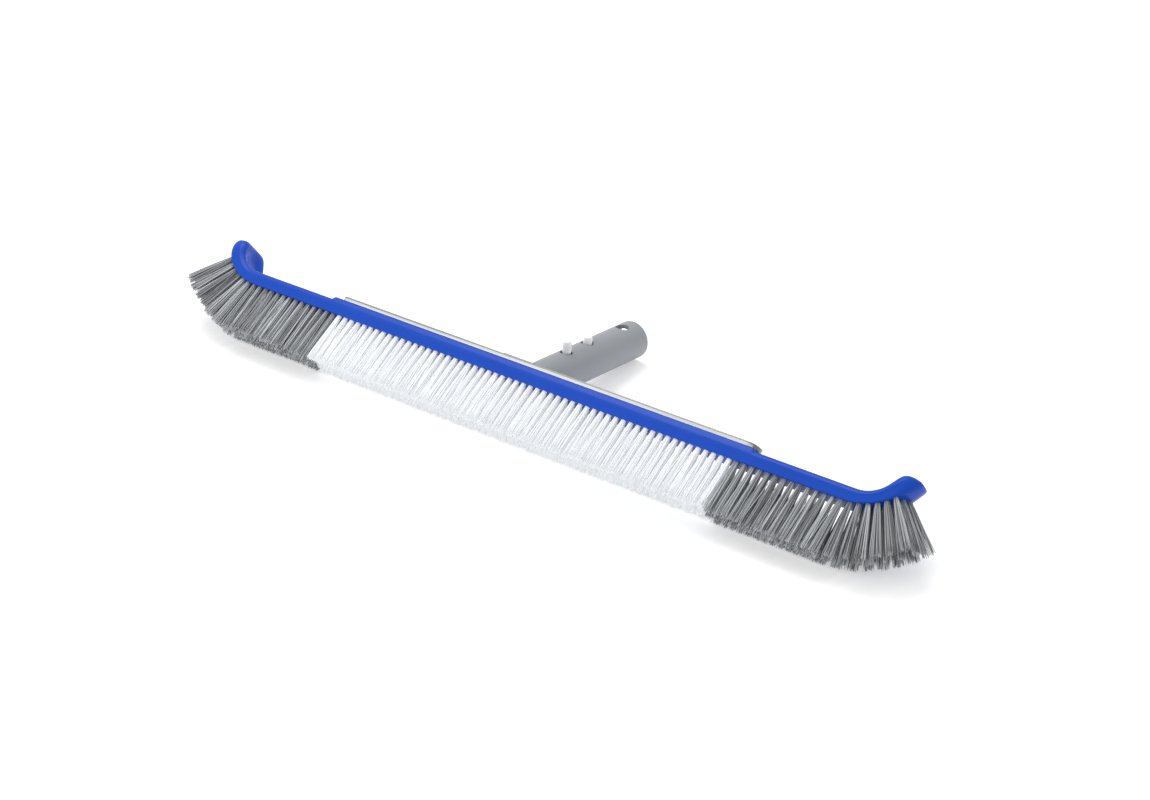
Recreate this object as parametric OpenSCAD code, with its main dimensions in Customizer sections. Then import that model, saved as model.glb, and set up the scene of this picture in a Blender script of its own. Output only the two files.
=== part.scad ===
// Pool wall brush: a long moulded block with curled, dished ends, three rows of
// bristle tufts, an aluminium backing strip and a tube socket with a sprung clip.
// Design frame: X along the block, Y from its front face to its back, Z away from
// the bristles, with Z = 0 on the bristle face. rest_pose() then lays it down.

/* [Block] */
// Length of the straight part of the block
straight_len = 512; // [300:2:700]
// Width of the block from front to back
block_w = 18; // [16:0.5:30]
// Height of the arms above the bristle face
arm_h = 10.9; // [10.4:0.1:12.4]
// Height of the upright front and back faces
face_h = 7.2; // [6:0.2:9]
// How far the sloped shoulder of an arm runs in
shoulder_in = 3.1; // [2:0.2:5]
// Radius of the bristle face where the ends curl up
curl_r = 48; // [44:1:80]
// Angle through which the ends curl up
curl_deg = 69.6; // [66:0.2:74]
// Radius of the hollow on top of each curl
hollow_r = 22; // [18:1:26]
// Distance from the start of the curl to the start of that hollow
hollow_start = 6; // [2:1:12]
// Length over which the tip narrows to its round end
tip_len = 28; // [20:1:30]
// How much further back the flared tips reach than the block
tip_flare = 14.7; // [10:0.1:15]
// How much further back they reach at the bristle face
flare_low = 2.2; // [1:0.1:6]
// Distance from the start of the curl over which the tips flare
flare_len = 23; // [18:1:28]
// Radius of the finger dish in each tip
dish_r = 16; // [12:0.5:17]
// Depth of the dish below the hollow
dish_depth = 2.6; // [1:0.2:2.8]
// Angle of the dish's middle round the hollow, from straight down
dish_deg = 48; // [45:1:60]
// Height of the raised seat for the strip
seat_h = 13; // [12.6:0.1:19]

/* [Backing strip] */
// Length of the strip
strip_len = 362; // [200:2:480]
// Width of the strip
strip_w = 12; // [9:0.5:13]
// Thickness of the strip
strip_t = 2; // [1:0.1:3]

/* [Bristles] */
// Distance between tufts along a row
tuft_pitch = 6.1; // [5.9:0.1:9]
// Number of tufts in the front row
front_count = 97; // [61:2:97]
// Distance from the block's edges to the outer rows
row_margin = 2.8; // [2.6:0.1:3.4]
// Length of the bristles below the block
bristle_len = 41; // [20:1:60]
// Radius of a tuft where it leaves the block
tuft_r = 1.75; // [1:0.05:2]
// Radius of a tuft at its tip
tip_r = 2.75; // [1.5:0.05:2.9]
// Depth of the tuft holes
hole_depth = 6.5; // [4:0.5:8]
// Lean of the front row towards the front
front_lean = 7; // [0:1:12]
// Lean of the rear row towards the back
rear_lean = 3; // [0:1:12]
// Number of front row tufts that are white, in the middle
white_count = 57; // [21:2:61]
// Width of a tuft anchor's wire
anchor_w = 0.6; // [0.4:0.1:0.8]
// Height of a tuft anchor
anchor_h = 1.6; // [1:0.1:2]

/* [Socket] */
// Outer diameter of the tube, which a pole slides over
tube_d = 28.5; // [24:0.1:32]
// Wall of the tube
tube_wall = 3; // [2:0.1:4]
// Length of the tube above the strip, along its axis
tube_len = 108; // [100:1:160]
// Angle between the tube and the block's back
tube_deg = 45; // [40:1:50]
// Depth of solid material at the foot of the tube
foot_solid = 9; // [7:1:14]
// Height above the bristle face at which the foot stops
foot_z = 2.5; // [1.5:0.5:5]
// Length of the mounting flange
flange_len = 62; // [54:1:90]
// Thickness of the flange
flange_t = 2.5; // [2:0.1:4]
// Setback of the flange from the strip's front edge
flange_in = 2.4; // [1:0.1:3]
// Diameter of the hole near the open end
end_hole_d = 10; // [6:0.5:12]
// Distance of that hole from the open end
end_hole_in = 15; // [10:1:20]

/* [Clip] */
// Distance of the first pin from the foot, along the tube
pin_start = 24; // [22:1:30]
// Distance between the two pins
pin_gap = 25.6; // [22:0.2:30]
// Diameter of a pin
pin_d = 6.2; // [5:0.1:7]
// Diameter of the pin holes
pin_hole_d = 9.4; // [8.8:0.1:10]
// How far the first pin stands out of the tube
pin_out = 8.6; // [5:0.1:9]
// Diameter of the ribs round a pin
rib_d = 6.8; // [6:0.1:7.4]
// Width of the clip's leaves
leaf_w = 9; // [7:0.5:11]
// Thickness of the clip's leaves
leaf_t = 2; // [1.4:0.1:2.4]
// Distance of the clip's bend from the open end
bend_in = 24; // [22:1:30]
// Radius of the rolled end of the lever
roll_r = 1.8; // [1.4:0.1:2]
// Height of the lever's rolled end above the tube's axis
roll_v = 6; // [5:0.1:6.2]
// Rise of the lever towards its free end
lever_rise = 2; // [1:0.1:2.4]
// Length of the lever beyond its first pin
lever_tail = 6; // [5:0.5:8]

/* [Fasteners] */
// Distance of the socket screws from the middle
screw_x = 23; // [21:1:26]
// Diameter of the screws' shanks
screw_d = 4; // [3:0.1:4.5]
// Length of the screws, which lie flush in the flange
screw_len = 10; // [8:0.5:10.5]
// Diameter of the screw heads
head_d = 7.6; // [6.5:0.1:8]
// Height of the screw heads
head_h = 2; // [1.5:0.1:2.2]
// Number of rivets on each side
rivets_a_side = 3; // [1:1:5]
// Diameter of the rivet shanks
rivet_d = 3.2; // [2.4:0.1:4]
// Diameter of the rivet heads
rivet_head_d = 6.5; // [5:0.1:8]
// Height of the rivet heads
rivet_head_h = 1.4; // [1:0.1:2]
// Distance of the outermost rivet from the end of the strip
rivet_in = 9; // [6:1:15]

/* [Hidden] */
$fn = 48;
// Clearance of a part that stays put in its seat
fit = 0.05;
// Running clearance of the rolled end in its bend
run = 0.08;
// Clearance between parts that pass without touching
gap = 0.3;
// Overlap that keeps cuts clean
eps = 0.01;
// Reach of a cutting block past everything
far = 90;

half_len = straight_len / 2;
row_y = [row_margin, block_w / 2, block_w - row_margin];
row_lean = [-front_lean, 0, rear_lean];
// Each row behind the front one is shifted by half a pitch and so gains half a tuft a side
row_extra = [0, 0.5, 1];
hole_r = tuft_r + fit;
strip_y = (block_w - strip_w) / 2;
strip_top = seat_h + strip_t;
seat_len = strip_len + 6;
seat_shoulder = strip_y - 0.5;
corner_r = 3;
tube_r = tube_d / 2;
bore_r = tube_r - tube_wall;
// The tube's front line starts at the strip's front edge
tube_y = strip_y + tube_r / sin(tube_deg);
flange_top = strip_top + flange_t;
flange_w = block_w - strip_y - flange_in;
rib_count = 4;
rib_h = 0.8;
rib_step = 1.7;
// The lever's rolled end is the centre that it turns about
pivot_u = tube_len - bend_in;
pin2_u = pin_start + pin_gap;
// Both pins end flush with the tube when the lever is pushed home
push_deg = asin(pin_out / (pivot_u - pin_start));
pin2_out = pin_out * (pivot_u - pin2_u) / (pivot_u - pin_start);

// ---- the brush lies on its rear tips and on the end of its tube ----
rear_tip = [
    row_y[2] + bristle_len * tan(rear_lean) + tip_r * cos(rear_lean),
    tip_r * sin(rear_lean) - bristle_len
];
front_tip = [
    row_y[0] - bristle_len * tan(front_lean) - tip_r * cos(front_lean),
    tip_r * sin(front_lean) - bristle_len
];
end_y = tube_y + tube_len * cos(tube_deg);
end_z = strip_top + tube_len * sin(tube_deg);
tube_low = [end_y + tube_r * sin(tube_deg), end_z - tube_r * cos(tube_deg)];
tube_high = [end_y - tube_r * sin(tube_deg), end_z + tube_r * cos(tube_deg)];
tilt = atan2(tube_low[1] - rear_tip[1], tube_low[0] - rear_tip[0]);
function laid_y(p) = p[0] * cos(tilt) + p[1] * sin(tilt);
function laid_z(p) = p[1] * cos(tilt) - p[0] * sin(tilt);
mid_y = (laid_y(front_tip) + laid_y(tube_high)) / 2;

module rest_pose() {
    translate([0, -mid_y, -laid_z(rear_tip)]) rotate([-tilt, 0, 0]) children();
}

// The tube's own frame: Z along its axis from the foot, Y towards its top line
module on_tube() {
    translate([0, tube_y, strip_top]) rotate([tube_deg - 90, 0, 0]) rotate([0, 0, 180])
        children();
}

// Draws an outline of Y and Z points along X
module along_x(x0, x1) {
    translate([x0, 0, 0]) rotate([90, 0, 90]) linear_extrude(x1 - x0) children();
}

module both_ends() {
    children();
    mirror([1, 0, 0]) children();
}

module rounded_plate(l, w, t, r) {
    translate([-l / 2 + r, -w / 2, 0]) cube([l - 2 * r, w, t]);
    translate([-l / 2, -w / 2 + r, 0]) cube([l, w - 2 * r, t]);
    for (x = [-1, 1], y = [-1, 1])
        translate([x * (l / 2 - r), y * (w / 2 - r), 0]) cylinder(r = r, h = t);
}

// ---- the block ----
shoulder_steps = 6;
// Quarter oval from the top of an upright face to the flat of the back
function shoulder(dy, z1) = [for (k = [0:shoulder_steps])
    let (a = 90 * k / shoulder_steps)
    [dy * (1 - cos(a)), face_h + (z1 - face_h) * sin(a)]];
// Outline across a block of width w, from depth z0 up to a back of height z1
function across(w, dy, z0, z1) = let (s = shoulder(dy, z1)) concat(
    [[0, z0]], s,
    [for (k = [shoulder_steps:-1:0]) [w - s[k][0], s[k][1]]],
    [[w, z0]]
);

// Distance from the curl's centre to the hollow, at angle a from straight down
hollow_z = arm_h + hollow_r;
function hollow_at(a) =
    let (b = hollow_start * sin(a) - (hollow_z - curl_r) * cos(a))
    let (c = pow(hollow_start, 2) + pow(hollow_z - curl_r, 2) - pow(hollow_r, 2))
    b + sqrt(b * b - c);
function thickness(a) = curl_r - hollow_at(a);
// Side outline that rounds off the tip and elsewhere stays clear of the curl's own faces
tip_round_deg = 45;
outline_swell = 1.15;
function tip_scale(a) = outline_swell
    * sqrt(max(0, 1 - pow(max(0, (a - curl_deg + tip_round_deg) / tip_round_deg), 2)));
function curl_point(a, side) =
    let (r = curl_r - thickness(a) * (1 + side * tip_scale(a)) / 2)
    [r * sin(a), curl_r - r * cos(a)];
curl_steps = 20;
curl_under = [for (k = [0:curl_steps]) curl_point(curl_deg * k / curl_steps, -1)];
curl_over = [for (k = [curl_steps - 1:-1:1]) curl_point(curl_deg * k / curl_steps, 1)];
// The curl's own bristle face, with the tip's rounding taken in where it is deeper
function arc_point(a) = [curl_r * sin(a), curl_r * (1 - cos(a))];
function curl_low(k) = let (a = curl_deg * k / curl_steps)
    tip_scale(a) > 1 ? arc_point(a) : curl_under[k];
clear_h = seat_h + 2;
right_side = concat(
    [for (k = [0:curl_steps]) curl_low(k)], curl_over,
    [[0, clear_h]]
);
side_points = concat(
    [for (p = right_side) [half_len + p[0], p[1]]],
    [for (k = [len(right_side) - 1:-1:0]) [-half_len - right_side[k][0], right_side[k][1]]]
);

// Plan of the tip, square to the bristle face near its end
tip_power = 2.4;
tip_steps = 20;
tip_w = block_w + tip_flare;
function tip_half(u) = tip_w / 2 * pow(1 - pow(u, tip_power), 1 / tip_power);
tip_deg = curl_deg - 8;
// What is cut away round the tip: one side's corner, from where it starts to narrow
tip_corner = concat(
    [for (k = [1:tip_steps]) let (u = k / tip_steps) [tip_len * u, tip_half(u)]],
    [[tip_len + far, 0], [tip_len + far, far], [tip_len * 0.02, far]]
);

module at_curl() {
    both_ends() translate([half_len, 0, 0]) children();
}

module tip_cut() {
    translate([curl_r * sin(tip_deg), tip_w / 2, curl_r - curl_r * cos(tip_deg)])
        rotate([0, -tip_deg, 0])
            translate([curl_r * sin(curl_deg - tip_deg) - tip_len, 0, -far])
                for (side = [0, 1]) mirror([0, side, 0])
                    linear_extrude(2 * far) polygon(tip_corner);
}

// Turns a section, drawn with its radius along X and its depth along Y, up from straight down
module turned_up(x, z, deg) {
    translate([x, 0, z]) rotate([90, 0, 0]) mirror([0, 0, 1]) rotate([0, 0, -90])
        rotate_extrude(angle = deg, $fn = 144) children();
}

// What lies behind the block before its tips have flared out, and below their sloping back
flare_steps = 12;
function flare_at(t) = block_w + tip_flare * sin(90 * t);
back_slope = (tip_flare - flare_low) / arm_h;
module flare_cut() {
    turned_up(0, curl_r, 90) polygon([
        [curl_r - 2 * arm_h, tip_w + back_slope * arm_h],
        [curl_r + arm_h, block_w + flare_low - back_slope * arm_h],
        [curl_r + arm_h, far], [curl_r - 2 * arm_h, far]
    ]);
    translate([0, 0, -far]) linear_extrude(2 * far) polygon(concat(
        [[-1, block_w]],
        [for (k = [0:flare_steps]) let (t = k / flare_steps)
            [hollow_start + (flare_len - hollow_start) * t, flare_at(t)]],
        [[flare_len, far], [-1, far]]
    ));
}

module shoulders() {
    arm_end = half_len + hollow_start;
    along_x(-arm_end, arm_end) polygon(across(block_w, shoulder_in, -far, arm_h));
    at_curl() turned_up(hollow_start, hollow_z, 130)
        polygon([for (p = across(tip_w, shoulder_in, arm_h - far, arm_h)) [hollow_z - p[1], p[0]]]);
    along_x(-seat_len / 2, seat_len / 2) polygon(across(block_w, seat_shoulder, -far, seat_h));
}

module bar() {
    difference() {
        intersection() {
            translate([0, tip_w + 1, 0]) rotate([90, 0, 0]) linear_extrude(tip_w + 2)
                polygon(side_points);
            shoulders();
        }
        at_curl() tip_cut();
        at_curl() flare_cut();
        at_curl() dish();
    }
}

module dish() {
    translate([hollow_start, 0, hollow_z]) rotate([0, -dish_deg, 0])
        translate([0, tip_w / 2, dish_r - dish_depth - hollow_r]) rotate([90, 0, 0])
            sphere(r = dish_r, $fn = 72);
}

// ---- bristles ----
function row_last(row) = (front_count - 1) / 2 + row_extra[row];
function row_places(row) = [for (k = [0:2 * row_last(row)]) k - row_last(row)];
white_last = (white_count - 1) / 2 + 0.25;
function side_of(i) = i < -white_last ? -1 : (i > white_last ? 1 : 0);

// Moves a tuft, drawn downwards from Z = 0, to place i of a row
module at_tuft(row, i) {
    x = i * tuft_pitch;
    a = abs(x) > half_len ? (abs(x) - half_len) / curl_r * 180 / PI : 0;
    s = sign(x);
    along = a > 0 ? half_len + curl_r * sin(a) : abs(x);
    translate([s * along, row_y[row], curl_r * (1 - cos(a))]) rotate([0, -s * a, 0])
        rotate([row_lean[row], 0, 0]) children();
}

module tufts(row, side) {
    root = hole_depth - anchor_h - fit;
    len = bristle_len / cos(row_lean[row]);
    for (i = row_places(row)) if (side_of(i) == side) at_tuft(row, i) {
        cylinder(r = tuft_r, h = root, $fn = 24);
        translate([0, 0, -len]) cylinder(r1 = tip_r, r2 = tuft_r, h = len, $fn = 24);
    }
}

// A flat wire across the bottom of each hole, which the tuft is folded over
module anchors(row) {
    for (i = row_places(row)) at_tuft(row, i)
        translate([-tuft_r, -anchor_w / 2, hole_depth - anchor_h])
            cube([2 * tuft_r, anchor_w, anchor_h]);
}

module tuft_holes() {
    for (row = [0:2], i = row_places(row)) at_tuft(row, i)
        translate([0, 0, -1]) cylinder(r = hole_r, h = hole_depth + 1, $fn = 24);
}

// ---- fasteners ----
rivet_out = strip_len / 2 - rivet_in;
rivet_space = rivet_out - flange_len / 2 - rivet_head_d * 2;
rivet_step = rivet_space / max(1, rivets_a_side - 1);
module at_rivets() {
    both_ends() for (k = [0:rivets_a_side - 1])
        translate([rivet_out - k * rivet_step, block_w / 2, strip_top]) children();
}
rivet_len = 6;

flange_y = strip_y + flange_in + flange_w / 2;
module at_screws() {
    both_ends() translate([screw_x, flange_y, flange_top]) children();
}

module brush_block() {
    color([0.12, 0.27, 0.78]) difference() {
        bar();
        tuft_holes();
        at_screws() translate([0, 0, -screw_len - fit])
            cylinder(d = screw_d + 2 * fit, h = screw_len);
        at_rivets() translate([0, 0, -rivet_len - fit])
            cylinder(d = rivet_d + 2 * fit, h = rivet_len + 1);
    }
}

module backing_strip() {
    color([0.8, 0.82, 0.84]) difference() {
        translate([0, block_w / 2, seat_h]) rounded_plate(strip_len, strip_w, strip_t, corner_r);
        at_screws() translate([0, 0, -screw_len]) cylinder(d = screw_d + 2 * fit, h = screw_len);
        at_rivets() translate([0, 0, -rivet_len]) cylinder(d = rivet_d + 2 * fit, h = rivet_len + 1);
    }
}

// ---- socket ----
// The block and strip as the socket fits over them
module saddle() {
    back = shoulder(seat_shoulder, seat_h);
    along_x(-far, far) polygon(concat(
        [[-far, -far], [-far, strip_top], [strip_y + strip_w + gap, strip_top]],
        [[strip_y + strip_w + gap, seat_h + fit]],
        [for (k = [shoulder_steps:-1:0]) [block_w - back[k][0] + fit, back[k][1] + fit]],
        [[block_w + fit, -far]]
    ));
}

// How far a pin's place in the wall moves towards the foot as the lever is pushed
function pin_sweep(u) = (bore_r + tube_wall / 2 - roll_v) * sin(push_deg)
    + (pivot_u - u) * (1 - cos(push_deg));

module tube_hole(u, d) {
    translate([0, 0, u]) rotate([-90, 0, 0]) cylinder(d = d, h = tube_d);
}

module pole_socket() {
    color([0.58, 0.59, 0.61]) difference() {
        union() {
            on_tube() translate([0, 0, -tube_d * 2])
                cylinder(d = tube_d, h = tube_len + tube_d * 2, $fn = 72);
            translate([0, flange_y, strip_top])
                rounded_plate(flange_len, flange_w, flange_t, corner_r);
        }
        saddle();
        translate([-far, -far, foot_z - 2 * far]) cube(2 * far);
        on_tube() {
            translate([0, 0, foot_solid]) cylinder(r = bore_r, h = tube_len, $fn = 72);
            tube_hole(pin_start - pin_sweep(pin_start) / 2, pin_hole_d);
            tube_hole(pin2_u - pin_sweep(pin2_u) / 2, pin_hole_d);
            tube_hole(tube_len - end_hole_in, end_hole_d);
        }
        at_screws() {
            translate([0, 0, -flange_t - 1]) cylinder(d = screw_d + 2 * fit, h = flange_t + 2);
            translate([0, 0, -head_h - fit]) screw_cone(fit);
            cylinder(d = head_d + 2 * gap, h = far);
        }
    }
}

// The tapered head, grown outwards by g
module screw_cone(g) {
    cylinder(r1 = screw_d / 2 + g, r2 = head_d / 2 + g, h = head_h + g);
}

module socket_screws() {
    color([0.75, 0.76, 0.78]) at_screws() difference() {
        union() {
            translate([0, 0, -screw_len]) cylinder(d = screw_d, h = screw_len - head_h + eps);
            translate([0, 0, -head_h]) screw_cone(0);
        }
        for (a = [0, 90]) rotate([0, 0, a])
            translate([-head_d * 0.3, -0.5, -head_h * 0.5]) cube([head_d * 0.6, 1, head_h]);
    }
}

module strip_rivets() {
    color([0.85, 0.86, 0.88]) at_rivets() {
        translate([0, 0, -rivet_len]) cylinder(d = rivet_d, h = rivet_len + eps);
        intersection() {
            cylinder(d = rivet_head_d, h = rivet_head_h);
            // the head's dome
            dome_r = (pow(rivet_head_d / 2, 2) + pow(rivet_head_h, 2)) / (2 * rivet_head_h);
            translate([0, 0, rivet_head_h - dome_r]) sphere(r = dome_r, $fn = 60);
        }
    }
}

// ---- clip ----
leaf_v = fit - bore_r;
bend_out = (roll_v - leaf_v) / 2;
ring_out = roll_r + run + leaf_t;

// In the clip's outlines X is up off the tube's axis and Y is along it
module clip_spring() {
    color([0.93, 0.94, 0.93]) on_tube() intersection() {
        cylinder(r = bore_r - fit, h = tube_len, $fn = 72);
        union() {
            translate([-leaf_w / 2, leaf_v, pin_start - lever_tail])
                cube([leaf_w, leaf_t, pivot_u - pin_start + lever_tail]);
            difference() {
                translate([0, leaf_v + bend_out, pivot_u]) roll(bend_out, leaf_w);
                translate([0, leaf_v + bend_out, pivot_u]) roll(bend_out - leaf_t, leaf_w + 1);
                translate([-far, -far, pivot_u - 2 * far]) cube(2 * far);
                translate([0, roll_v, pivot_u]) roll(roll_r + run, leaf_w + 1);
            }
            difference() {
                translate([0, roll_v, pivot_u]) roll(ring_out, leaf_w);
                translate([0, roll_v, pivot_u]) roll(roll_r + run, leaf_w + 1);
                mouth();
            }
        }
    }
}

// A roll across the tube, centred on the origin
module roll(r, w) {
    translate([-w / 2, 0, 0]) rotate([0, 90, 0]) cylinder(r = r, h = w);
}

// The opening of the bend that the lever swings in
mouth_up = 50;
mouth_down = 62;
module mouth() {
    reach = 3 * ring_out;
    translate([-far, roll_v, pivot_u]) rotate([90, 0, 90]) linear_extrude(2 * far) polygon([
        [0, 0],
        [reach * sin(mouth_up), -reach * cos(mouth_up)],
        [0, -2 * reach],
        [-reach * sin(mouth_down), -reach * cos(mouth_down)]
    ]);
}

lever_end_u = pin_start - lever_tail;
pin_r = pin_d / 2;
round_h = pin_r * 0.4;
round_steps = 5;
// Half outline of a pin of height h: ribs up its side and a rounded top
function rib_points(h) = [for (k = [rib_count - 1:-1:0])
    let (z = h - (k + 2) * rib_step)
    each [[pin_r, z], [rib_d / 2, z], [rib_d / 2, z + rib_h], [pin_r, z + rib_h]]];
function pin_points(h) = concat(
    [[0, 0], [pin_r, 0]], rib_points(h),
    [for (k = [0:round_steps]) let (a = 90 * k / round_steps)
        [pin_r * cos(a), h - round_h * (1 - sin(a))]]
);
module clip_pin(u, out) {
    foot_v = roll_v + lever_rise * (pivot_u - u) / (pivot_u - lever_end_u);
    translate([0, foot_v, u]) rotate([-90, 0, 0])
        rotate_extrude() polygon(pin_points(tube_r + out - foot_v));
}

module clip_lever() {
    color([0.95, 0.96, 0.95]) on_tube() {
        translate([0, roll_v, pivot_u]) roll(roll_r, leaf_w - gap);
        slope = atan2(lever_rise, pivot_u - lever_end_u);
        translate([0, roll_v, pivot_u]) rotate([slope, 0, 0])
            translate([-leaf_w / 2, -leaf_t / 2, lever_end_u - pivot_u])
                cube([leaf_w, leaf_t, pivot_u - lever_end_u + roll_r / 2]);
        clip_pin(pin_start, pin_out);
        clip_pin(pin2_u, pin2_out);
    }
}

grey = [0.5, 0.52, 0.54];
white = [0.94, 0.95, 0.96];
steel = [0.7, 0.7, 0.7];

rest_pose() brush_block();
rest_pose() backing_strip();
rest_pose() pole_socket();
rest_pose() clip_spring();
rest_pose() clip_lever();
rest_pose() socket_screws();
rest_pose() strip_rivets();
color(grey) rest_pose() tufts(0, -1);  // grey_left_front
color(grey) rest_pose() tufts(1, -1);  // grey_left_middle
color(grey) rest_pose() tufts(2, -1);  // grey_left_rear
color(white) rest_pose() tufts(0, 0);  // white_front
color(white) rest_pose() tufts(1, 0);  // white_middle
color(white) rest_pose() tufts(2, 0);  // white_rear
color(grey) rest_pose() tufts(0, 1);  // grey_right_front
color(grey) rest_pose() tufts(1, 1);  // grey_right_middle
color(grey) rest_pose() tufts(2, 1);  // grey_right_rear
color(steel) rest_pose() anchors(0);  // anchors_front
color(steel) rest_pose() anchors(1);  // anchors_middle
color(steel) rest_pose() anchors(2);  // anchors_rear
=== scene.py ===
import bpy, bmesh, math
import numpy as np
from mathutils import Vector, Matrix


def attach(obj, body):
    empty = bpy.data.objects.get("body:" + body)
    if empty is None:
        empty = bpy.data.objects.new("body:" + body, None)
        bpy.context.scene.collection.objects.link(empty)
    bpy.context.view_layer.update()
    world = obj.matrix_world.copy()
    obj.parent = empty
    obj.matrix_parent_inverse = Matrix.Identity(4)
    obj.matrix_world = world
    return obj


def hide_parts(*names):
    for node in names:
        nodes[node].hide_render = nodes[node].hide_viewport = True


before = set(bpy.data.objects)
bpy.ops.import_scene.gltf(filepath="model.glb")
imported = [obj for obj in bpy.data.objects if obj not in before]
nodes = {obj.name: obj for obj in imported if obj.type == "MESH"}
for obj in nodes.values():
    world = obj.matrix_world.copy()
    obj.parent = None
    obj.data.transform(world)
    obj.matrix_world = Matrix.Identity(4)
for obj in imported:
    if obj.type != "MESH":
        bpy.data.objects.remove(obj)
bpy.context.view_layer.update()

scene = bpy.context.scene
rng = np.random.default_rng(7)

# ------------------------------------------------------------------ sizes (mm, brush frame)
# the bar and its curl
HALF, BW, CURL_R, CURL_DEG = 256.0, 18.0, 48.0, 69.5
FACE_H, ARM_H, SHOULDER = 7.2, 10.9, 3.1
# the moulded spoon is a little fuller than the exact solid
TIP_LEN, FLARE, FLARE_LOW, FLARE_LEN = 19.6, 19.5, 1.6, 21.6
TIP_POWER, TIP_ROUND, SWELL = 2.48, 33.0, 1.307
TIP_W = BW + FLARE
# the hollow over the curl
HOLLOW_R, HOLLOW_X = 22.0, 6.0
HOLLOW_Z = ARM_H + HOLLOW_R
# the raised seat and its strip
SEAT_H, STRIP_LEN, STRIP_W, STRIP_T = 13.0, 362.0, 12.0, 2.0
# the tufts: pitch, edge margin and length, then each row's lean and how far it runs past the first
PITCH, ROW_M, BLEN = 6.1, 2.8, 41.0
TUFT_R, TIP_R = 1.75, 2.75
LEAN = (-7.0, 0.0, 3.0)
EXTRA = (0.0, 0.5, 1.0)
LAST = 48          # tufts on each side of the front row's middle one
WHITE = 28.25      # pitches from the middle to where the colour changes
ROW_Y = (ROW_M, BW / 2, BW - ROW_M)
TUBE_R, TUBE_L, TUBE_DEG = 14.25, 108.0, 45.0
STRIP_TOP = SEAT_H + STRIP_T
TUBE_Y = (BW - STRIP_W) / 2 + TUBE_R / math.sin(math.radians(TUBE_DEG))


def rad(a):
    return math.radians(a)


def tip_point(row, side):
    """The front (-1) or rear (1) edge of a row's bristle tips, as (y, z)."""
    lean = rad(LEAN[row])
    return (ROW_Y[row] + BLEN * math.tan(lean) + side * TIP_R * math.cos(lean),
            side * TIP_R * math.sin(lean) - BLEN)


def tube_point(side):
    """The lower (1) or upper (-1) edge of the tube's open end, as (y, z)."""
    y = TUBE_Y + TUBE_L * math.cos(rad(TUBE_DEG))
    z = STRIP_TOP + TUBE_L * math.sin(rad(TUBE_DEG))
    return y + side * TUBE_R * math.sin(rad(TUBE_DEG)), z - side * TUBE_R * math.cos(rad(TUBE_DEG))


# the brush lies on the rear row's tips and on the end of its tube
rear, front = tip_point(2, 1), tip_point(0, -1)
low, high = tube_point(1), tube_point(-1)
TILT = math.atan2(low[1] - rear[1], low[0] - rear[0])
CT, ST = math.cos(TILT), math.sin(TILT)
MID = ((front[0] * CT + front[1] * ST) + (high[0] * CT + high[1] * ST)) / 2
LZ = rear[1] * CT - rear[0] * ST


def rest(p):
    """Brush frame in mm to the row frame in metres; works on arrays too."""
    p = np.asarray(p, float)
    y = p[..., 1] * CT + p[..., 2] * ST - MID
    z = p[..., 2] * CT - p[..., 1] * ST - LZ
    return np.stack([p[..., 0], y, z], -1) * 0.001


def rdir(p):
    """A direction in the brush frame, turned to the row frame."""
    p = np.asarray(p, float)
    return np.stack([p[..., 0], p[..., 1] * CT + p[..., 2] * ST, p[..., 2] * CT - p[..., 1] * ST], -1)


# ------------------------------------------------------------------ camera
cam_data = bpy.data.cameras.new("cam")
cam = bpy.data.objects.new("cam", cam_data)
scene.collection.objects.link(cam)
scene.camera = cam
SENSOR, FOCAL_WIDTHS = 36.0, 2.0
NEAR, FAR = 0.01, 50
# its right and forward directions and its place, in the brush frame
CAM_RIGHT = (0.80537851, 0.35888401, 0.47177085)
CAM_FORWARD = (-0.51430697, 0.81877548, 0.25513732)
CAM_PLACE = (857.55, -1296.61 + ROW_M, -402.34)
cam_data.sensor_width = SENSOR
cam_data.lens = FOCAL_WIDTHS * SENSOR
cam_data.clip_start, cam_data.clip_end = NEAR, FAR
right = Vector(rdir(CAM_RIGHT)).normalized()
fwd = Vector(rdir(CAM_FORWARD)).normalized()
up = right.cross(fwd).normalized()
right = fwd.cross(up).normalized()
cam.matrix_world = Matrix((
    (right.x, up.x, -fwd.x, 0), (right.y, up.y, -fwd.y, 0), (right.z, up.z, -fwd.z, 0), (0, 0, 0, 1)))
cam.location = Vector(rest(CAM_PLACE))

# ------------------------------------------------------------------ materials
BUMP_DEPTH, METAL_BUMP = 0.0002, 0.04


def material(name):
    """A new material with one principled shader: the material, its node tree and the shader."""
    m = bpy.data.materials.new(name)
    m.use_nodes = True
    nt = m.node_tree
    nt.nodes.clear()
    out = nt.nodes.new("ShaderNodeOutputMaterial")
    b = nt.nodes.new("ShaderNodeBsdfPrincipled")
    nt.links.new(b.outputs[0], out.inputs[0])
    return m, nt, b


def node(nt, kind, **kw):
    """A new node with the given inputs or settings."""
    n = nt.nodes.new(kind)
    for k, v in kw.items():
        if k in n.inputs:
            n.inputs[k].default_value = v
        else:
            setattr(n, k, v)
    return n


def ramp(nt, fac, stops):
    """A colour ramp with stops of (position, colour), driven by fac."""
    r = nt.nodes.new("ShaderNodeValToRGB")
    e = r.color_ramp.elements
    while len(e) < len(stops):
        e.new(0.5)
    for i, (p, c) in enumerate(stops):
        e[i].position = p
        e[i].color = (*c, 1)
    nt.links.new(fac, r.inputs[0])
    return r


def coords(nt):
    return nt.nodes.new("ShaderNodeTexCoord").outputs["Object"]


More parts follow.
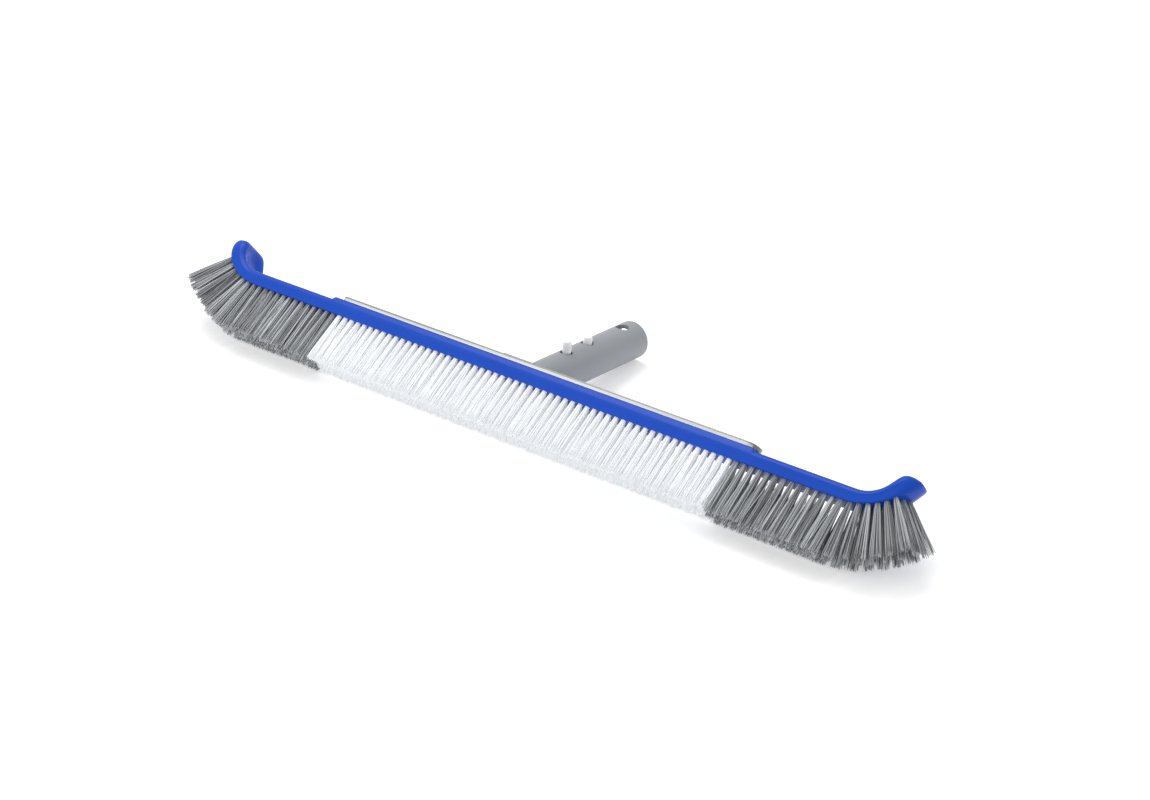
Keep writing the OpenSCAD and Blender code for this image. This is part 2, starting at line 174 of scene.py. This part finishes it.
def surface(nt, b, noise, rough, span, bump):
    """Roughness that varies over span times rough and a fine bump, both driven by one noise."""
    mr = node(nt, "ShaderNodeMapRange", **{"To Min": rough * span[0], "To Max": rough * span[1]})
    nt.links.new(noise.outputs[0], mr.inputs["Value"])
    nt.links.new(mr.outputs[0], b.inputs["Roughness"])
    bp = node(nt, "ShaderNodeBump", Strength=bump, Distance=BUMP_DEPTH)
    nt.links.new(noise.outputs[0], bp.inputs["Height"])
    nt.links.new(bp.outputs[0], b.inputs["Normal"])


def moulded(name, base, dark, rough, coat, grain=900.0, bump=0.05, mottle=0.5, spec=0.5):
    """Moulded plastic: a faint mottle in its colour and a fine grain on its surface."""
    m, nt, b = material(name)
    co = coords(nt)
    n1 = node(nt, "ShaderNodeTexNoise", Scale=18.0, Detail=3.0)
    nt.links.new(co, n1.inputs["Vector"])
    r = ramp(nt, n1.outputs[0], [(0.5 - mottle / 2, dark), (0.5 + mottle / 2, base)])
    nt.links.new(r.outputs[0], b.inputs["Base Color"])
    n2 = node(nt, "ShaderNodeTexNoise", Scale=grain, Detail=2.0)
    nt.links.new(co, n2.inputs["Vector"])
    surface(nt, b, n2, rough, (0.9, 1.12), bump)
    b.inputs["Specular IOR Level"].default_value = spec
    b.inputs["Coat Weight"].default_value = coat
    b.inputs["Coat Roughness"].default_value = 0.2
    return m


def metal(name, lightc, darkc, rough, along):
    """Metal with streaks that the scale in along stretches."""
    m, nt, b = material(name)
    co = coords(nt)
    mp = node(nt, "ShaderNodeMapping")
    mp.inputs["Scale"].default_value = along
    nt.links.new(co, mp.inputs["Vector"])
    n1 = node(nt, "ShaderNodeTexNoise", Scale=60.0, Detail=4.0)
    nt.links.new(mp.outputs[0], n1.inputs["Vector"])
    r = ramp(nt, n1.outputs[0], [(0.3, darkc), (0.7, lightc)])
    nt.links.new(r.outputs[0], b.inputs["Base Color"])
    surface(nt, b, n1, rough, (0.8, 1.25), METAL_BUMP)
    b.inputs["Metallic"].default_value = 1.0
    return m


def bristle(name, lightc, darkc, root, glow=0.0):
    """Filaments: tone differs from one to the next, and changes to the root colour at the foot, a
    painted shade where they meet the block.
    """
    m, nt, b = material(name)
    at = nt.nodes.new("ShaderNodeAttribute")
    at.attribute_name = "tone"
    r = ramp(nt, at.outputs["Fac"], [(0.0, darkc), (1.0, lightc)])
    rt = nt.nodes.new("ShaderNodeAttribute")
    rt.attribute_name = "along"
    mx = nt.nodes.new("ShaderNodeMix")
    mx.data_type = "RGBA"
    # the root colour is painted shade: it darkens each filament's first part, next to the block
    rr = ramp(nt, rt.outputs["Fac"], [(0.0, (0, 0, 0)), (0.12, (1, 1, 1))])
    nt.links.new(rr.outputs[0], mx.inputs["Factor"])
    mx.inputs["A"].default_value = (*root, 1)
    nt.links.new(r.outputs[0], mx.inputs["B"])
    nt.links.new(mx.outputs["Result"], b.inputs["Base Color"])
    b.inputs["Roughness"].default_value = 0.5
    b.inputs["Specular IOR Level"].default_value = 0.45
    if glow:
        # stands in for the light that the clear nylon passes from filament to filament
        b.inputs["Emission Color"].default_value = (0.95, 0.97, 1.0, 1)
        b.inputs["Emission Strength"].default_value = glow
    return m


M_blue = moulded("blue plastic", (0.010, 0.069, 0.475), (0.007, 0.058, 0.42), 0.33, 0.03,
                 mottle=0.7, spec=0.11)
M_grey = moulded("socket plastic", (0.28, 0.298, 0.322), (0.253, 0.27, 0.292), 0.5, 0.03,
                 bump=0.08, spec=0.4)
M_clip = moulded("clip nylon", (0.87, 0.88, 0.885), (0.80, 0.81, 0.815), 0.4, 0.1)
M_alu = metal("strip aluminium", (0.70, 0.71, 0.71), (0.58, 0.59, 0.59), 0.34, (0.15, 4, 4))
# a darker aluminium painted on the rims' tops: painted shade, not a finish of the metal
M_rim_shade = metal("strip rims painted shade", (0.27, 0.265, 0.25), (0.21, 0.205, 0.195), 0.42, (0.15, 4, 4))
M_steel = metal("screw steel", (0.66, 0.66, 0.67), (0.5, 0.5, 0.51), 0.3, (1, 1, 1))
M_wire = metal("anchor wire", (0.6, 0.6, 0.6), (0.45, 0.45, 0.45), 0.35, (1, 1, 1))
# the third colour of each bristle material is the painted shade at the filaments' feet
M_gb = bristle("grey bristle", (0.66, 0.683, 0.71), (0.105, 0.11, 0.117), (0.20, 0.206, 0.214))
M_wb = bristle("white bristle", (0.94, 0.955, 0.97), (0.84, 0.86, 0.88), (0.82, 0.84, 0.86),
               glow=0.11)


for name, mat in (("pole_socket", M_grey), ("clip_spring", M_clip), ("clip_lever", M_clip),
                  ("strip_rivets", M_alu), ("socket_screws", M_steel),
                  ("anchors_front", M_wire), ("anchors_middle", M_wire), ("anchors_rear", M_wire)):
    nodes[name].data.materials.clear()
    nodes[name].data.materials.append(mat)

# ------------------------------------------------------------------ block
N_TOP, N_LOW = 25, 11              # points along a section's top and underside
N_CURL, RING_EASE = 64, 1.35       # rings along the curl, closer together towards its end
THIN, LAST_RING = 0.02, 0.9995     # the last ring's thickness and angle, as shares
EDGE_R, EDGE_STEPS = 1.1, 6        # the rounded lower edges
EDGE_SHARE, EDGE_SIDE = 0.42, 0.3  # the most that an edge takes of a section's height and width
SHOULDER_STEPS, ROUND_PART = 9, 0.55
SHOULDER_SHARE, SHOULDER_SIDE = 0.56, 0.42
# the groove below the bead: depth, the most that it takes of the width, how fast it starts and fades
GROOVE, GROOVE_SIDE, GROOVE_RISE, GROOVE_FADE = 0.26, 0.05, 0.9, 1.5
BEAD_STEPS = np.array([1.2, 0.9, 0.6, 0.35, 0.15])
# the ramp at the end of the raised seat, and the places of the bar's rings
SEAT_EDGE, RAMP_X, RAMP_LEN = 0.5, 182.6, 3.0
BAR_XS = np.concatenate([np.linspace(0, 178, 30), np.linspace(182, 191, 19),
                         np.linspace(194, HALF, 12)[:-1]])
# the spoon end: its plan is drawn on the curl's tangent plane TIP_BACK degrees before its end
FRONT_POWER, TIP_BACK = 2.86, 8.0
TIP_A = rad(CURL_DEG - TIP_BACK)
FLARE_START, FLARE_EASE = 2.2, 5.0
BACK_SOFT, CONE_SOFT, TAPER_SOFT = 7.0, 7.0, 0.34   # how far the corners between its curves are rounded
OUTER = 0.11                                        # how much of the end's thinning is taken outside
SOFT_SIDE, SOFT_HIGH, SOFT_EDGE = 0.6, 1.0, 2.6     # what its shoulders and edges gain towards the end
SOFT_FROM, SOFT_OVER = 26, 36                       # degrees round the curl over which they gain it
# the dish: depth, rim, offset to the rear, then middle and half length from the end on radius DISH_R
DISH, DISH_RIM, DISH_OFF, DISH_AT, DISH_HALF, DISH_R = 2.7, 3.4, 0.8, 23.0, 19.0, 42
DISH_SHARE, DISH_SLOPE = 0.4, 1.25
# passes that smooth the spoon, and where along the curl they come in, as shares of its rings
PASSES, PASS_STEP, PASS_FROM, PASS_OVER = 30, 0.5, 0.5, 0.3


def smin(a, b, k):
    """The smaller of two, with the corner between them rounded over k."""
    h = np.clip(0.5 + 0.5 * (b - a) / k, 0, 1)
    return b + (a - b) * h - k * h * (1 - h)


def smooth(t):
    """An eased step from 0 to 1."""
    t = np.clip(t, 0, 1)
    return t * t * (3 - 2 * t)


def top_radius(a):
    """Distance from the curl's centre to its top on the ray at angle a: flat, then the hollow's arc."""
    if (CURL_R - ARM_H) * math.tan(a) < HOLLOW_X:
        return (CURL_R - ARM_H) / math.cos(a)
    b_ = HOLLOW_X * math.sin(a) - (HOLLOW_Z - CURL_R) * math.cos(a)
    c_ = HOLLOW_X ** 2 + (HOLLOW_Z - CURL_R) ** 2 - HOLLOW_R ** 2
    return b_ + math.sqrt(b_ * b_ - c_)


def plan_half(r, a, power=TIP_POWER):
    """Half the spoon's width in plan, a superellipse that closes at its end."""
    u = np.clip((TIP_LEN - CURL_R * math.sin(rad(TIP_BACK)) + r * math.sin(a - TIP_A)) / TIP_LEN, 0, 1)
    return TIP_W / 2 * (1 - u ** power) ** (1 / power)


def edges(r, a):
    """The front and back of the curl at radius r and angle a."""
    limit = TIP_W / 2 + plan_half(r, a)
    x = r * math.sin(a)
    t = np.clip((x - FLARE_START) / (FLARE_LEN - FLARE_START), 0, 1)
    back = smin(BW + FLARE * np.sin(t * math.pi / 2),
                BW + FLARE_LOW + (FLARE - FLARE_LOW) / ARM_H * (CURL_R - r), CONE_SOFT)
    back = BW + (back - BW) * smooth((x - FLARE_START) / FLARE_EASE)
    return TIP_W / 2 - plan_half(r, a, FRONT_POWER), np.minimum(smin(back, limit, BACK_SOFT), limit)


def section(T, yf, yb, sh_y, sh_h, dish, edge=EDGE_R):
    """Points (h, y) round a section of thickness T; yf and yb give its edges at each height."""
    edge = min(edge, T * EDGE_SHARE)
    sh_h = min(sh_h, T * SHOULDER_SHARE)
    face = T - sh_h
    fine = min(1.0, face / FACE_H)
    h = np.concatenate([edge * (1 - np.cos(np.linspace(0, math.pi / 2, EDGE_STEPS))),
                        [(edge + face) / 2], face - fine * BEAD_STEPS,
                        face + sh_h * np.sin(np.linspace(0, math.pi / 2, SHOULDER_STEPS))])
    width = np.maximum(yb(h) - yf(h), 1e-4)
    sh_y = np.minimum(sh_y, width * SHOULDER_SIDE)
    edge_y = np.minimum(edge, width * EDGE_SIDE)
    ins = np.where(h < edge, edge_y * (1 - np.sqrt(np.clip(1 - ((edge - h) / edge) ** 2, 0, 1))), 0)
    u = np.clip((h - T + sh_h) / sh_h, 0, 1)
    slope = ROUND_PART * (1 - np.sqrt(1 - u ** 2)) + (1 - ROUND_PART) * u
    ins = np.where(h > T - sh_h, sh_y * slope, ins)
    # the face is set back a little below a fine bead
    groove = (GROOVE * fine * smooth((face - h) / (GROOVE_RISE * fine))
              * smooth(h / (GROOVE_FADE * edge)))
    ins = ins + np.minimum(groove, width * GROOVE_SIDE)
    front_side = np.stack([h, yf(h) + ins], 1)
    back_side = np.stack([h, yb(h) - ins], 1)
    q = np.linspace(0, 1, N_TOP + 2)[1:-1]
    yt = front_side[-1, 1] + (back_side[-1, 1] - front_side[-1, 1]) * q
    top = np.stack([T - dish(yt), yt], 1)
    q = np.linspace(0, 1, N_LOW + 2)[1:-1]
    under = np.stack([np.zeros(N_LOW), back_side[0, 1] + (front_side[0, 1] - back_side[0, 1]) * q], 1)
    return np.concatenate([front_side, top, back_side[::-1], under])


def bar_rings():
    """The straight half of the bar, with the ramp at the end of its seat."""
    def at(v):
        return lambda h: np.full_like(np.asarray(h, float), v)

    seat_y = (BW - STRIP_W) / 2 - SEAT_EDGE
    rings = []
    for x in BAR_XS:
        k = 1 - float(smooth((x - RAMP_X) / RAMP_LEN))
        T = ARM_H + (SEAT_H - ARM_H) * k
        sec = section(T, at(0.0), at(BW), SHOULDER + (seat_y - SHOULDER) * k, T - FACE_H, np.zeros_like)
        rings.append(np.stack([np.full(len(sec), x), sec[:, 1], sec[:, 0]], 1))
    return rings


def curl_ring(t):
    """One ring of the curl, from its start at t = 0 to its end at t = 1."""
    a = rad(CURL_DEG) * (1 - (1 - t) ** RING_EASE) * LAST_RING
    full = CURL_R - top_radius(a)
    taper = max(0, (math.degrees(a) - CURL_DEG + TIP_ROUND) / TIP_ROUND)
    # a smooth change from the full thickness to the rounded tip
    sc = float(smin(np.float64(1.0), np.float64(SWELL * math.sqrt(max(0, 1 - taper ** 2))), TAPER_SOFT))
    sc = max(sc, THIN)
    T = full * sc
    r_out = CURL_R - full * (1 - sc) * OUTER
    to_end = (rad(CURL_DEG) - a) * DISH_R

    def edge_at(which):
        return lambda h: edges(r_out - np.asarray(h, float), a)[which]

    e0, e1 = float(edge_at(0)(T)), float(edge_at(1)(T))

    def dish(y):
        c, w = (e0 + e1) / 2 + DISH_OFF, max((e1 - e0) / 2 - DISH_RIM, 0.5)
        rho = np.sqrt(((y - c) / w) ** 2 + ((to_end - DISH_AT) / DISH_HALF) ** 2)
        return min(DISH, T * DISH_SHARE) * smooth((1.0 - rho) * DISH_SLOPE)

    k = float(smooth((math.degrees(a) - SOFT_FROM) / SOFT_OVER))
    sec = section(T, edge_at(0), edge_at(1), SHOULDER + SOFT_SIDE * k, ARM_H - FACE_H + SOFT_HIGH * k,
                  dish, EDGE_R + SOFT_EDGE * k)
    r = r_out - sec[:, 0]
    return np.stack([HALF + r * math.sin(a), sec[:, 1], CURL_R - r * math.cos(a)], 1)


def soften(P):
    """Smooth the spoon's creases, more towards its end."""
    n = len(P) - 1
    w = smooth((np.arange(n + 1) - n * PASS_FROM) / (n * PASS_OVER))[:, None, None]
    for _ in range(PASSES):
        Q = 0.25 * (P[:-2] + P[2:] + np.roll(P[1:-1], 1, 1) + np.roll(P[1:-1], -1, 1)) - P[1:-1]
        P[1:-1] += PASS_STEP * w[1:-1] * Q
        P[-1] = P[-2].mean(0) + (P[-1] - P[-1].mean(0))
    return P


def skin(count, m):
    """Quads between rings of m points, as a list of corner indices."""
    return [(i * m + k, i * m + (k + 1) % m, (i + 1) * m + (k + 1) % m, (i + 1) * m + k)
            for i in range(count - 1) for k in range(m)]


def closed_mesh(name, rings, faces, mats):
    """An object made of closed rings, with its faces turned outwards."""
    me = bpy.data.meshes.new(name)
    me.from_pydata(rest(np.concatenate(rings)).tolist(), [], faces)
    bm = bmesh.new()
    bm.from_mesh(me)
    bmesh.ops.recalc_face_normals(bm, faces=bm.faces)
    bm.to_mesh(me)
    bm.free()
    for mat in mats:
        me.materials.append(mat)
    o = bpy.data.objects.new(name, me)
    scene.collection.objects.link(o)
    return o


half_rings = bar_rings() + list(soften(np.array([curl_ring(i / N_CURL) for i in range(N_CURL + 1)])))
rings = [r * np.array([-1, 1, 1]) for r in half_rings[:0:-1]] + half_rings
per_ring = len(rings[0])
faces = skin(len(rings), per_ring)
faces.append(tuple(range(per_ring)))
faces.append(tuple((len(rings) - 1) * per_ring + k for k in range(per_ring))[::-1])
block = closed_mesh("moulded_block", rings, faces, [M_blue])
block.data.polygons.foreach_set("use_smooth", [True] * len(block.data.polygons))
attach(block, "brush")
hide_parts("brush_block")

# ------------------------------------------------------------------ backing strip
RIM_W, RIM_H = 1.1, 1.5        # the rims along the strip's edges
FLANGE_HALF = 31.0             # half the length of the socket's flange
CORNER_R, CUT_R = 3.0, 8.5     # the corners, and the wide cut of one front corner
SHIFT = 3.6                    # the real strip sits a little to one side on its seat
DARK_LEN = 4.0                 # how much of the cut corner shows its dark end
FLOOR_STEPS = 6
# points of a section on the rims' tops and outer corners, counted from its start and from its end
FRONT_RIM, REAR_RIM = (4, 9), (8, 4)
E = STRIP_LEN / 2


def strip_section(x):
    """A shallow channel: rims along its edges, the rear one stopping at the socket's flange."""
    def cut(radius):
        d = max(0.0, abs(x) - (E - radius))
        return radius - math.sqrt(max(0.0, radius * radius - d * d))

    y0 = (BW - STRIP_W) / 2 + cut(CUT_R if x > 0 else CORNER_R)
    y1 = (BW + STRIP_W) / 2 - cut(CORNER_R)
    end = float(smooth((abs(x) - (E - RIM_W - 0.4)) / 0.5))
    f = STRIP_T + end * RIM_H
    top0 = STRIP_T + RIM_H
    top1 = STRIP_T + max(RIM_H * float(smooth((abs(x) - FLANGE_HALF - 1.2) / 1.6)), end * RIM_H)
    w = min(RIM_W, (y1 - y0) * 0.25)
    foot0, foot1 = (f, f) if end >= 1 else (min(f + 0.25, top0 - 0.4), min(f + 0.25, top1))
    # round the section from the front: the front rim, the channel's floor, the rear rim
    pts = [(y0 + 0.3, 0), (y0 + 0.06, 0.08), (y0, 0.35), (y0, STRIP_T * 0.6),
           (y0, top0 - 1.35), (y0 + 0.05, top0 - 0.6), (y0 + 0.16, top0 - 0.3), (y0 + 0.36, top0 - 0.08),
           (y0 + w * 0.55, top0), (y0 + w * 0.85, top0 - 0.1),
           (y0 + w, max(f, top0 - 0.4)), (y0 + w, foot0), (y0 + w + 0.2, f)]
    pts += [(y0 + w + 0.2 + (y1 - y0 - 2 * w - 0.4) * k / FLOOR_STEPS, f) for k in range(1, FLOOR_STEPS)]
    pts += [(y1 - w - 0.2, f), (y1 - w, foot1), (y1 - w, max(f, top1 - 0.4)),
            (y1 - w * 0.85, max(f, top1 - 0.1)), (y1 - w * 0.55, top1), (y1 - 0.36, top1 - 0.04),
            (y1 - 0.12, top1 - 0.2), (y1, top1 - 0.5), (y1, 0.35), (y1 - 0.06, 0.08), (y1 - 0.3, 0)]
    return [(x + SHIFT, y, SEAT_H + z) for y, z in pts]


# places along one half, mirrored for the other: closer together round the corners and where the
# rear rim stops
xs = [E - CORNER_R * (1 - math.sin(rad(a))) for a in (90, 78, 66, 54, 40, 25, 10, 0)] + [E - 4, E - 12]
xs += [E - CUT_R * (1 - math.sin(rad(a))) for a in (84, 76, 68, 60, 52, 44, 36, 27, 18, 9, 0)]
xs += list(np.linspace(E - 25, FLANGE_HALF + 6, 12))
xs += [FLANGE_HALF + v for v in (3.2, 2.6, 2.0, 1.6, 1.2)] + [20.0, 8.0]
xs = sorted(set([round(float(x), 4) for x in xs] + [-round(float(x), 4) for x in xs]))
secs = [strip_section(x if abs(x) < E else math.copysign(E - 0.002, x)) for x in xs]
per_ring = len(secs[0])
faces = [tuple(range(per_ring)),
         tuple((len(secs) - 1) * per_ring + k for k in range(per_ring))[::-1]]
faces += [(a, d, c, b) for a, b, c, d in skin(len(secs), per_ring)]
strip = closed_mesh("rimmed_strip", secs, faces, [M_alu, M_rim_shade])
for f in strip.data.polygons:
    f.use_smooth = len(f.vertices) == 4
    if not f.use_smooth:
        continue
    ks = [v % per_ring for v in f.vertices]
    front_rim = FRONT_RIM[0] <= min(ks) and max(ks) <= FRONT_RIM[1]
    rear_rim = per_ring - REAR_RIM[0] <= min(ks) and max(ks) <= per_ring - REAR_RIM[1]
    dark_end = xs[min(v // per_ring for v in f.vertices)] >= E - DARK_LEN
    # the rims' tops and outer corners take the darker metal as painted shade; the faces at the cut
    # corner's end take the same darker metal
    if front_rim or rear_rim or dark_end:
        f.material_index = 1
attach(strip, "brush")
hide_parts("backing_strip")

# ------------------------------------------------------------------ tufts
FAN_BACK, FAN_OVER = rad(7.5), 0.85           # how much less the last tufts fan, reached over this turn
PER_TUFT, FIL_R, FIL_SIDES, FIL_STEPS = 44, 0.30, 4, 6
INSET = 1.0                                   # filaments start this far inside their hole
GOLDEN_ANGLE, JITTER = 2.39996, 0.25          # even layout over a tuft's round foot
CROWD_START, CROWD_OVER = 9, 16               # tips spread more from 9 mm before the curl
SPREAD, SPREAD_MORE = 1.18, 0.62
SHORT_OVER, SHORT_LEFT, SHORT_RIGHT = 18, 0.11, 0.02
TIP_SPAN, LENGTHS, STRAY_LENGTHS = (0.82, 1.06), (0.945, 1.0), (0.90, 0.98)
STRAY_SHARE, STRAY_THROW, LOOSE = 0.17, 3.4, 0.25
WAVE, WAVE_TURN, WAVE_SHARE = 0.45, 3.1, 0.8
CONE_EASE = 0.8
END_FROM, END_THIN = 0.9, 0.7                 # a filament's worn end is thinner
TUFT_TONE, FIL_TONE = 0.12, 0.33
FULL_TURN = 6.28
QUARTERS = (0, 1.5708, 3.1416, 4.7124)
ROWS = ("front", "middle", "rear")


def tuft_frame(row, i):
    """A tuft's foot in the brush frame, and a function that turns its points to its own direction."""
    x = i * PITCH
    s = 1 if x > 0 else -1
    a = max(0.0, abs(x) - HALF) / CURL_R
    along = HALF + CURL_R * math.sin(a) if a > 0 else abs(x)
    base = np.array([s * along, ROW_Y[row], CURL_R * (1 - math.cos(a))])
    # the last tufts are crowded and fan a little less than the face that they stand on
    lean, fan = rad(LEAN[row]), -s * (a - FAN_BACK * min(1.0, a / FAN_OVER) ** 2)

    def turn(v):
        """Lean about X, then turn about Y."""
        y = v[..., 1] * math.cos(lean) - v[..., 2] * math.sin(lean)
        z = v[..., 1] * math.sin(lean) + v[..., 2] * math.cos(lean)
        return np.stack([v[..., 0] * math.cos(fan) + z * math.sin(fan), y,
                         -v[..., 0] * math.sin(fan) + z * math.cos(fan)], -1)
    return base, turn


def side_of(i):
    """-1 in the left grey part, 0 in the white part, 1 in the right grey part."""
    return -1 if i < -WHITE else (1 if i > WHITE else 0)


def filament(j, length, spread, steps):
    """Points of one thin prism of a tuft, which runs down from the origin."""
    out, th = math.sqrt((j + 0.5) / PER_TUFT), j * GOLDEN_ANGLE + rng.uniform(-JITTER, JITTER)
    cx, cy = out * math.cos(th), out * math.sin(th)
    root = np.array([cx, cy]) * (TUFT_R - FIL_R * 0.9)
    tip = np.array([cx * spread, cy]) * (TIP_R - FIL_R) * rng.uniform(*TIP_SPAN)
    stray = rng.random() < STRAY_SHARE
    tip[0] += rng.uniform(-STRAY_THROW, STRAY_THROW) if stray else rng.normal(0, LOOSE)
    ln = length * rng.uniform(*(STRAY_LENGTHS if stray else LENGTHS))
    wave = rng.uniform(-WAVE, WAVE, 2)
    phase = rng.uniform(0, FULL_TURN)
    curve = []
    for t in steps:
        g = t ** CONE_EASE
        xy = root * (1 - g) + tip * g + wave * math.sin(t * WAVE_TURN + phase * 0.1) * t * WAVE_SHARE
        # front to back it stays inside the row
        lim = (TUFT_R - FIL_R * 0.5) * (1 - t) + (TIP_R - FIL_R * 0.6) * t
        curve.append((xy[0], min(lim, max(-lim, xy[1])), INSET - (ln + INSET) * t))
    a0 = rng.uniform(0, FULL_TURN)
    ring = np.array([[math.cos(a0 + u), math.sin(a0 + u), 0] for u in QUARTERS])
    thick = np.where(steps > END_FROM, END_THIN, 1.0) * FIL_R
    return (np.array(curve)[:, None, :] + ring[None] * thick[:, None, None]).reshape(-1, 3)


def filaments(name, row, side, mat):
    """One node's tufts as bundles of thin prisms that spread and wave towards frayed tips."""
    last = LAST + EXTRA[row]
    steps = np.linspace(0, 1, FIL_STEPS + 1)
    length = BLEN / math.cos(rad(LEAN[row]))
    cap = tuple(FIL_STEPS * FIL_SIDES + u for u in range(FIL_SIDES))
    prism = skin(len(steps), FIL_SIDES) + [cap]
    V, F, tone, along = [], [], [], []
    for k in range(int(2 * last) + 1):
        i = k - last
        if side_of(i) != side:
            continue
        base, turn = tuft_frame(row, i)
        tuft_tone = rng.uniform(-TUFT_TONE, TUFT_TONE)
        past = abs(i) * PITCH - HALF
        curl = min(1.0, max(0.0, past) / SHORT_OVER)
        spread = SPREAD + SPREAD_MORE * min(1.0, max(0.0, past + CROWD_START) / CROWD_OVER)
        short = 1.0 - (SHORT_LEFT * curl * curl if i < 0 else SHORT_RIGHT * curl)
        for j in range(PER_TUFT):
            pts = filament(j, length * short, spread, steps)
            first = len(V) * len(pts)
            V.append(turn(pts) + base)
            F += [tuple(first + v for v in f) for f in prism]
            tn = min(1, max(0, 0.5 + tuft_tone + rng.normal(0, FIL_TONE)))
            tone.append(np.full(len(pts), tn))
            along.append(np.repeat(steps, FIL_SIDES))
    me = bpy.data.meshes.new(name)
    me.from_pydata(rest(np.concatenate(V)).tolist(), [], F)
    for key, val in (("tone", np.concatenate(tone)), ("along", np.concatenate(along))):
        at = me.attributes.new(key, "FLOAT", "POINT")
        at.data.foreach_set("value", val.astype(np.float32))
    me.polygons.foreach_set("use_smooth", [True] * len(me.polygons))
    me.materials.append(mat)
    o = bpy.data.objects.new(name, me)
    scene.collection.objects.link(o)
    return o


for row, row_name in enumerate(ROWS):
    for side, pre, mat, slot in ((-1, "grey_left_", M_gb, "grey_bristle"),
                                 (0, "white_", M_wb, "white_bristle"),
                                 (1, "grey_right_", M_gb, "grey_bristle")):
        o = filaments("filaments_" + pre + row_name, row, side, mat)
        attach(o, "brush")
        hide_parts(pre + row_name)

# ------------------------------------------------------------------ floor, background and light
FLOOR_HALF, FLOOR_DROP, FLOOR_GLOW = 6, 0.0003, 0.3
SKY = 0.75

me = bpy.data.meshes.new("floor")
me.from_pydata([(-FLOOR_HALF, -FLOOR_HALF, 0), (FLOOR_HALF, -FLOOR_HALF, 0),
                (FLOOR_HALF, FLOOR_HALF, 0), (-FLOOR_HALF, FLOOR_HALF, 0)], [], [(0, 1, 2, 3)])
floor = bpy.data.objects.new("floor", me)
scene.collection.objects.link(floor)
fm, nt, b = material("floor")
b.inputs["Base Color"].default_value = (0.9, 0.9, 0.9, 1)
b.inputs["Roughness"].default_value = 0.9
b.inputs["Specular IOR Level"].default_value = 0.1
b.inputs["Emission Color"].default_value = (1, 1, 1, 1)
b.inputs["Emission Strength"].default_value = FLOOR_GLOW
me.materials.append(fm)
floor.location = (0, 0, -FLOOR_DROP)

world = bpy.data.worlds.new("world")
scene.world = world
world.use_nodes = True
bg = world.node_tree.nodes["Background"]
bg.inputs["Color"].default_value = (1, 1, 1, 1)
bg.inputs["Strength"].default_value = SKY


def area(name, loc, size, power):
    """A rectangular light, aimed at the middle of the floor."""
    light = bpy.data.lights.new(name, "AREA")
    light.shape = "RECTANGLE"
    light.size, light.size_y = size
    light.energy = power
    o = bpy.data.objects.new(name, light)
    scene.collection.objects.link(o)
    o.location = loc
    o.rotation_euler = (Vector((0, 0, 0)) - Vector(loc)).to_track_quat("-Z", "Y").to_euler()


area("key", (-0.8, 0.7, 2.0), (1.5, 1.2), 26)
area("fill", (-1.2, -1.5, 1.2), (1.4, 1.4), 10)
scene.view_settings.view_transform = "Standard"

# ------------------------------------------------------------------ the end
bpy.context.view_layer.update()
